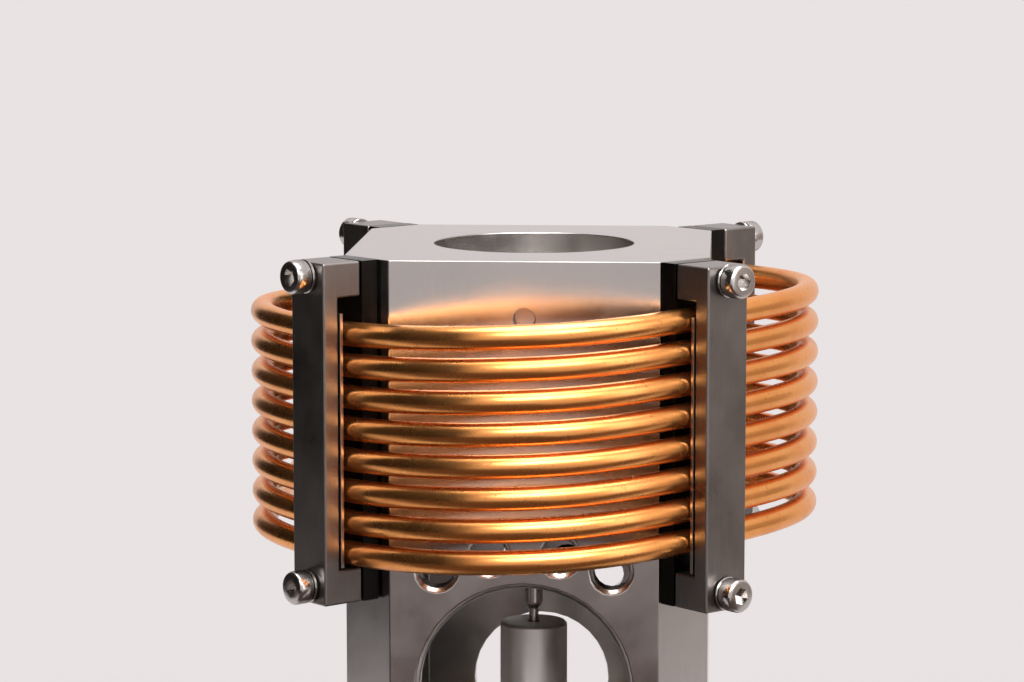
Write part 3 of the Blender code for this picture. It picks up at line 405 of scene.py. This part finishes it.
def broken_edges(obj, width, segments=2, angle=30.0):
    """Break a piece's edges, and shade it so that flat faces stay flat."""
    bevel = obj.modifiers.new("edges", "BEVEL")
    bevel.width = width
    bevel.segments = segments
    bevel.limit_method = "ANGLE"
    bevel.angle_limit = math.radians(angle)
    weigh = obj.modifiers.new("weigh", "WEIGHTED_NORMAL")
    weigh.weight = 100
    weigh.keep_sharp = True
    return obj


def merged_copy(node):
    """A welded copy of a solid, with its flat faces joined up."""
    bm = bmesh.new()
    bm.from_mesh(frame["nodes"][node].data)
    bmesh.ops.remove_doubles(bm, verts=bm.verts, dist=1e-6)
    bmesh.ops.dissolve_limit(bm, angle_limit=math.radians(0.3), verts=bm.verts, edges=bm.edges)
    return bm


def refine(node, width, segments=2, angle=30.0):
    """A finished copy of a solid, with broken edges and smooth curved faces."""
    obj = object_from(f"{node}_finished", merged_copy(node))
    return show(broken_edges(obj, width, segments, angle), node)


def spun(profile, steps):
    """Turn a chain of (radius, height) round local Z."""
    bm = bmesh.new()
    chain = [bm.verts.new((radius, 0.0, height)) for radius, height in profile]
    edges = [bm.edges.new(pair) for pair in zip(chain, chain[1:])]
    bmesh.ops.spin(bm, geom=chain + edges, cent=(0, 0, 0), axis=(0, 0, 1), angle=math.tau,
                   steps=steps, use_merge=True, use_duplicate=False)
    bmesh.ops.remove_doubles(bm, verts=bm.verts, dist=1e-7)
    bmesh.ops.recalc_face_normals(bm, faces=bm.faces)
    return bm


def baked(obj):
    """Keep what a piece's modifiers make."""
    bpy.context.scene.collection.objects.link(obj)
    bpy.context.view_layer.update()
    graph = bpy.context.evaluated_depsgraph_get()
    mesh = bpy.data.meshes.new_from_object(obj.evaluated_get(graph))
    bpy.data.objects.remove(obj)
    return mesh


def radial(angle, drop):
    """Frame on a clamp screw's line: local +Z points outward and local +Y up."""
    turn = math.radians(angle)
    outward = Vector((math.cos(turn), math.sin(turn), 0.0))
    across = Vector((-math.sin(turn), math.cos(turn), 0.0))
    rows = Matrix((across, Vector((0, 0, 1)), outward)).transposed().to_4x4()
    return Matrix.Translation((0, 0, COLUMN_TOP - drop)) @ rows


# ---------------------------------------------------------------- coil


def between(a, b, c, d, t):
    """The Catmull-Rom curve's value at t on its way from b to c."""
    return 0.5 * ((2 * b) + (c - a) * t + (2 * a - 5 * b + 4 * c - d) * t * t
                  + (3 * b - a - 3 * c + d) * t ** 3)


def coil_lift(angle):
    """The listed lifts, joined smoothly round the column."""
    step = ((angle - 225.0) % 360.0) / 45.0
    index = int(step)
    near = (COIL_LIFTS[(index + shift) % len(COIL_LIFTS)] for shift in (-1, 0, 1, 2))
    return between(*near, step - index)


def winding_point(angle):
    """A point on the winding, whose plan swells between the clamps."""
    size = sizes()
    swell = (1.0 - math.cos(math.radians(4.0 * angle))) / 2.0
    radius = size.coil_side_radius - (size.coil_side_radius - size.coil_clamp_radius) * swell
    drop = size.coil_top_drop - size.coil_pitch * (angle - 225.0) / 360.0 - coil_lift(angle)
    turn = math.radians(angle)
    return Vector((radius * math.cos(turn), radius * math.sin(turn), COLUMN_TOP - drop))


def smooth_route(points, steps):
    """A Catmull-Rom curve through the points, without its first and last ones."""
    route = []
    for a, b, c, d in zip(points, points[1:], points[2:], points[3:]):
        route += [between(a, b, c, d, step / steps) for step in range(steps)]
    return route


def tube(node, route, radius, sides=24):
    """A round tube along a route, standing for a solid."""
    curve = bpy.data.curves.new(f"{node}_route", "CURVE")
    curve.dimensions = "3D"
    curve.bevel_depth = radius
    curve.bevel_resolution = sides // 2 - 2
    curve.use_fill_caps = True
    spline = curve.splines.new("POLY")
    spline.points.add(len(route) - 1)
    for point, place in zip(spline.points, route):
        point.co = (*place, 1.0)
    mesh = baked(bpy.data.objects.new(f"{node}_route", curve))
    mesh.shade_smooth()
    obj = bpy.data.objects.new(f"{node}_finished", mesh)
    mesh.name = obj.name
    return show(obj, node)


def coil_route():
    """The winding's centre line, with a straight end at the back at each end of it."""
    sweep = WINDING_END - WINDING_START
    count = round(sweep / WINDING_STEP)
    winding = [winding_point(WINDING_START + sweep * index / count) for index in range(count + 1)]
    first = winding[0]
    tail = [Vector((first.x, reach, first.z)) for reach in (0.055, 0.0275, 0.005)]
    last, before = winding[-1], winding[-4]
    bend = last + (last - before).normalized() * 0.007
    stub = smooth_route([before, last, bend + Vector((-0.0016, 0.0018, 0.0004)),
                         Vector((0.007, 0.048, bend.z + 0.0004)), Vector((0.007, 0.055, bend.z + 0.0004)),
                         Vector((0.007, 0.056, bend.z + 0.0004))], 10)
    return tail + winding + stub[1:]


def pipe_route():
    """The transfer pipe's centre line, from the back of the column down to the power cylinder."""
    top = COLUMN_TOP - 33.0 * MM
    low = 68.8 * MM
    stops = [(-16, 24, top), (-16, 26, top), (-16, 31.6, top), (-16, 33.7, top - 0.9 * MM),
             (-16, 34.5, top - 3.4 * MM), (-16, 34.5, top - 30 * MM), (-16, 34.5, low + 20 * MM),
             (-13, 36.7, low + 14 * MM), (-3, 44, low + 11 * MM), (0, 46, low + 5.5 * MM),
             (0, 46, low - 1.5 * MM), (0, 46, low - 3 * MM)]
    return smooth_route([Vector((x * MM, y * MM, z)) for x, y, z in stops], 8)


# ---------------------------------------------------------------- operators


class STIRLING_OT_base(bpy.types.Operator):
    """Finish the base plate and its feet"""

    bl_idname = "stirling.base"
    bl_label = "Base and feet"

    def execute(self, context):
        refine("base_plate", 2 * sizes().edge_break, 3)
        for end in ("front", "back"):
            for side in ("left", "right"):
                refine(f"foot_{end}_{side}", sizes().edge_break)
        return {"FINISHED"}


class STIRLING_OT_column(bpy.types.Operator):
    """Finish the square column"""

    bl_idname = "stirling.column"
    bl_label = "Column"

    def execute(self, context):
        refine("column", sizes().edge_break, 2, 35.0)
        return {"FINISHED"}


class STIRLING_OT_clamps(bpy.types.Operator):
    """Finish the clamp bars, the liner strips and the grooved bars"""

    bl_idname = "stirling.clamps"
    bl_label = "Clamp bars"

    def execute(self, context):
        for corner in CORNERS:
            refine(f"clamp_bar_{corner}", sizes().fine_edge)
            refine(f"comb_bar_{corner}", sizes().fine_edge)
            refine(f"liner_strip_{corner}", sizes().fine_edge / 2)
        return {"FINISHED"}


class STIRLING_OT_screws(bpy.types.Operator):
    """Make the socket head screws and their washers"""

    bl_idname = "stirling.screws"
    bl_label = "Clamp screws"

    def head_mesh(self, reach):
        """A knurled socket head, with its seat at local Z = 0 and its shank below."""
        size = sizes()
        head = size.head_radius
        height = HEAD_HEIGHT
        shank = SCREW_RADIUS
        edge = 0.32 * MM
        profile = [(0, height), (head - edge - 0.12 * MM, height), (head - edge, height - 0.04 * MM),
                   (head - 0.08 * MM, height - edge), (head, height - edge - 0.12 * MM),
                   (head, 0.28 * MM), (head - 0.1 * MM, 0.16 * MM), (head - 0.1 * MM, 0),
                   (shank, 0), (shank, -reach + 0.3 * MM), (shank - 0.3 * MM, -reach), (0, -reach)]
        bm = spun(profile, HEAD_FLUTES * 2)
        band = [vert for vert in bm.verts if vert.co.xy.length > head - 0.01 * MM]
        for vert in band:
            index = round(math.atan2(vert.co.y, vert.co.x) / math.tau * HEAD_FLUTES * 2)
            if index % 2:
                vert.co.xy *= 1.0 - 0.09 * MM / head
        screw = object_from("screw_blank", bm)
        socket = bmesh.new()
        bmesh.ops.create_cone(socket, cap_ends=True, segments=6, radius1=size.socket_radius,
                              radius2=size.socket_radius, depth=2.0 * SOCKET_DEPTH)
        bmesh.ops.translate(socket, vec=(0, 0, height), verts=socket.verts)
        cutter = object_from("socket_cutter", socket)
        bpy.context.scene.collection.objects.link(cutter)
        cut = screw.modifiers.new("socket", "BOOLEAN")
        cut.operation = "DIFFERENCE"
        cut.solver = "EXACT"
        cut.object = cutter
        mesh = baked(screw)
        bpy.data.objects.remove(cutter)
        return mesh

    def execute(self, context):
        seat = CLAMP_FACE + GAP + WASHER_THICKNESS + GAP
        mesh = self.head_mesh(seat - SCREW_TIP)
        drops = {end: COLUMN_TOP - sum(corner.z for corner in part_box(f"clamp_washer_front_right_{end}")) / 2
                 for end in ENDS}
        bore, rim, thick = WASHER_BORE, WASHER_RADIUS, WASHER_THICKNESS
        ring = [(bore, thick), (rim - 0.13 * MM, thick), (rim, 0.28 * MM), (rim, 0.1 * MM),
                (rim - 0.09 * MM, 0), (bore, 0), (bore, thick)]
        for index, (corner, angle) in enumerate(CORNERS.items()):
            for end in ENDS:
                degrees = 17.0 + 23.0 * index + (31.0 if end == "lower" else 0.0)
                turn = Matrix.Rotation(math.radians(degrees), 4, "Z")
                place = radial(angle, drops[end])
                copy = mesh.copy()
                copy.transform(place @ Matrix.Translation((0, 0, seat)) @ turn)
                copy.shade_smooth()
                copy.set_sharp_from_angle(angle=math.radians(38.0))
                show(bpy.data.objects.new(f"clamp_screw_{corner}_{end}_finished", copy),
                     f"clamp_screw_{corner}_{end}")
                washer = object_from(f"clamp_washer_{corner}_{end}_finished", spun(ring, 48))
                washer.data.transform(place @ Matrix.Translation((0, 0, CLAMP_FACE + GAP)))
                washer.data.set_sharp_from_angle(angle=math.radians(38.0))
                show(washer, f"clamp_washer_{corner}_{end}")
        return {"FINISHED"}


class STIRLING_OT_coil(bpy.types.Operator):
    """Wind the cooling coil and bend the transfer pipe"""

    bl_idname = "stirling.coil"
    bl_label = "Coil and pipe"

    def execute(self, context):
        tube("cooling_coil", coil_route(), sizes().tube_radius)
        tube("transfer_pipe", pipe_route(), sizes().pipe_radius)
        return {"FINISHED"}


class STIRLING_OT_cylinder(bpy.types.Operator):
    """Finish the hot cap, the liner and the gland"""

    bl_idname = "stirling.cylinder"
    bl_label = "Displacer cylinder"

    def execute(self, context):
        for node in ("hot_cap", "cylinder_liner", "gland_plate", "rod_gland", "guide_plate", "guide_bush"):
            refine(node, sizes().fine_edge)
        return {"FINISHED"}


class STIRLING_OT_displacer(bpy.types.Operator):
    """Finish the displacer, its rod and the crosshead"""

    bl_idname = "stirling.displacer"
    bl_label = "Displacer and crosshead"

    def execute(self, context):
        for node in ("displacer", "displacer_rod"):
            refine(node, sizes().fine_edge)
        head = refine("crosshead", sizes().fine_edge)
        head.data.materials[0] = finish_for("lapped_steel")
        return {"FINISHED"}


class STIRLING_OT_crank(bpy.types.Operator):
    """Finish the crankshaft, the flywheel and the shaft's fittings"""

    bl_idname = "stirling.crank"
    bl_label = "Crank and flywheel"

    def execute(self, context):
        refine("flywheel", 2 * sizes().edge_break, 3, 35.0)
        for node in ("crankshaft", "flywheel_nut", "shaft_collar", "bearing_left", "bearing_right"):
            refine(node, sizes().fine_edge)
        return {"FINISHED"}


class STIRLING_OT_rods(bpy.types.Operator):
    """Finish the connecting rods and the wrist pins"""

    bl_idname = "stirling.rods"
    bl_label = "Connecting rods"

    def execute(self, context):
        for side in ("displacer", "power"):
            refine(f"{side}_connecting_rod", sizes().edge_break)
            refine(f"{side}_wrist_pin", sizes().fine_edge)
        return {"FINISHED"}


class STIRLING_OT_power(bpy.types.Operator):
    """Finish the power cylinder, its head and its piston, and the transfer pipe's unions"""

    bl_idname = "stirling.power"
    bl_label = "Power cylinder"

    def execute(self, context):
        for node in ("power_cylinder", "power_cylinder_head", "power_piston"):
            refine(node, sizes().edge_break)
        for node in ("pipe_union_upper", "pipe_union_lower"):
            refine(node, sizes().fine_edge)
        return {"FINISHED"}


class STIRLING_OT_stage(bpy.types.Operator):
    """Make the floor, the lights and the camera"""

    bl_idname = "stirling.stage"
    bl_label = "Stage"

    def card(self, name, size, place, colour, turn=(0, 0, 0)):
        """A flat matt card of the stage."""
        bm = bmesh.new()
        bmesh.ops.create_grid(bm, x_segments=1, y_segments=1, size=0.5)
        bmesh.ops.scale(bm, vec=(*size, 1.0), verts=bm.verts)
        obj = object_from(name, bm)
        bpy.context.scene.collection.objects.link(obj)
        obj.location = place
        obj.rotation_euler = turn
        material = bpy.data.materials.new(name)
        material.use_nodes = True
        shader = material.node_tree.nodes["Principled BSDF"]
        shader.inputs["Base Color"].default_value = (*colour, 1.0)
        shader.inputs["Roughness"].default_value = 1.0
        shader.inputs["Specular IOR Level"].default_value = 0.0
        obj.data.materials.append(material)
        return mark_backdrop(obj) or obj

    def light(self, name, power, size, place, target, colour=(1.0, 1.0, 1.0)):
        data = bpy.data.lights.new(name, "AREA")
        data.shape = "RECTANGLE"
        data.size, data.size_y = size
        data.energy = power
        data.color = colour
        obj = bpy.data.objects.new(name, data)
        obj.location = place
        obj.rotation_euler = (Vector(target) - Vector(place)).to_track_quat("-Z", "Y").to_euler()
        bpy.context.scene.collection.objects.link(obj)
        return obj

    def execute(self, context):
        look = studio()
        scene = context.scene
        scene.view_settings.view_transform = "Standard"
        pale = tuple(colours().backdrop)
        world = bpy.data.worlds.new("surroundings")
        world.use_nodes = True
        ground = world.node_tree.nodes["Background"]
        ground.inputs["Color"].default_value = (*pale, 1.0)
        ground.inputs["Strength"].default_value = look.surround
        scene.world = world

        floor = self.card("floor", (30.0, 30.0), (0, 0, 0), (0.98, 0.985, 0.988))
        middle = (0, 0, COLUMN_TOP - 0.03)
        dark = (0.012, 0.010, 0.009)
        grey = (0.30, 0.26, 0.23)
        brown = (0.045, 0.03, 0.026)
        # The cards only show in reflections.
        cards = [self.card("dark_card_left", (1.4, 1.4), (-0.5, -0.05, 0.2), dark, (0, math.pi / 2, 0)),
                 self.card("grey_card_right", (0.5, 0.5), (0.6, 0.0, 0.1), grey, (0, math.pi / 2, 0)),
                 self.card("dark_card_front", (1.1, 0.5), (-0.44, -0.55, 0.012), brown),
                 self.card("dark_card_near", (1.1, 0.24), (0.0, -0.18, 0.012), brown)]
        for card in cards:
            card.visible_camera = False
            card.visible_diffuse = False
            card.visible_shadow = False
        lamps = [self.light("top_softbox", look.top_power, (0.7, 0.7), (0.05, -0.05, 0.95), middle),
                 self.light("front_softbox", look.front_power, (0.9, 0.35), (0.18, -0.75, 0.72), middle),
                 self.light("right_softbox", look.side_power, (0.4, 0.8), (0.85, -0.45, 0.45), middle)]
        spared = bpy.data.collections.new("not_lit")
        spared.objects.link(floor)
        spared.collection_objects[0].light_linking.link_state = "EXCLUDE"
        for lamp in lamps:
            lamp.light_linking.receiver_collection = spared

        camera = bpy.data.objects.new("camera", bpy.data.cameras.new("camera"))
        scene.collection.objects.link(camera)
        camera.data.lens = look.lens
        camera.data.sensor_width = 36.0
        camera.data.clip_start = 0.01
        turn = Matrix.Rotation(look.azimuth, 4, "Z")
        place = turn @ Vector((-look.aside, -look.distance, 0.0))
        camera.location = (place.x, place.y, COLUMN_TOP + look.height)
        camera.rotation_euler = (math.pi / 2 - look.elevation, 0.0, look.azimuth)
        scene.camera = camera
        return {"FINISHED"}


class STIRLING_PT_panel(bpy.types.Panel):
    """Lists the finishing steps and their settings"""

    bl_idname = "STIRLING_PT_panel"
    bl_label = "Stirling engine"
    bl_space_type = "VIEW_3D"
    bl_region_type = "UI"
    bl_category = "Stirling"

    def draw(self, context):
        for settings in (sizes(), colours(), studio()):
            box = self.layout.box()
            for name in settings.bl_rna.properties.keys():
                if name not in ("rna_type", "name"):
                    box.prop(settings, name)
        for step in STEPS:
            self.layout.operator(step.bl_idname)


STEPS = (STIRLING_OT_stage, STIRLING_OT_base, STIRLING_OT_column, STIRLING_OT_clamps, STIRLING_OT_screws,
         STIRLING_OT_coil, STIRLING_OT_cylinder, STIRLING_OT_displacer, STIRLING_OT_crank, STIRLING_OT_rods,
         STIRLING_OT_power)
CLASSES = (EngineSizes, EngineColours, StudioSettings) + STEPS + (STIRLING_PT_panel,)


def register():
    for cls in CLASSES:
        bpy.utils.register_class(cls)
    bpy.types.Scene.stirling_sizes = bpy.props.PointerProperty(type=EngineSizes)
    bpy.types.Scene.stirling_colours = bpy.props.PointerProperty(type=EngineColours)
    bpy.types.Scene.stirling_studio = bpy.props.PointerProperty(type=StudioSettings)


def unregister():
    del bpy.types.Scene.stirling_studio
    del bpy.types.Scene.stirling_colours
    del bpy.types.Scene.stirling_sizes
    for cls in reversed(CLASSES):
        bpy.utils.unregister_class(cls)


def main():
    register()
    for step in STEPS:
        group, name = step.bl_idname.split(".")
        getattr(getattr(bpy.ops, group), name)()


if __name__ == "__main__":
    main()
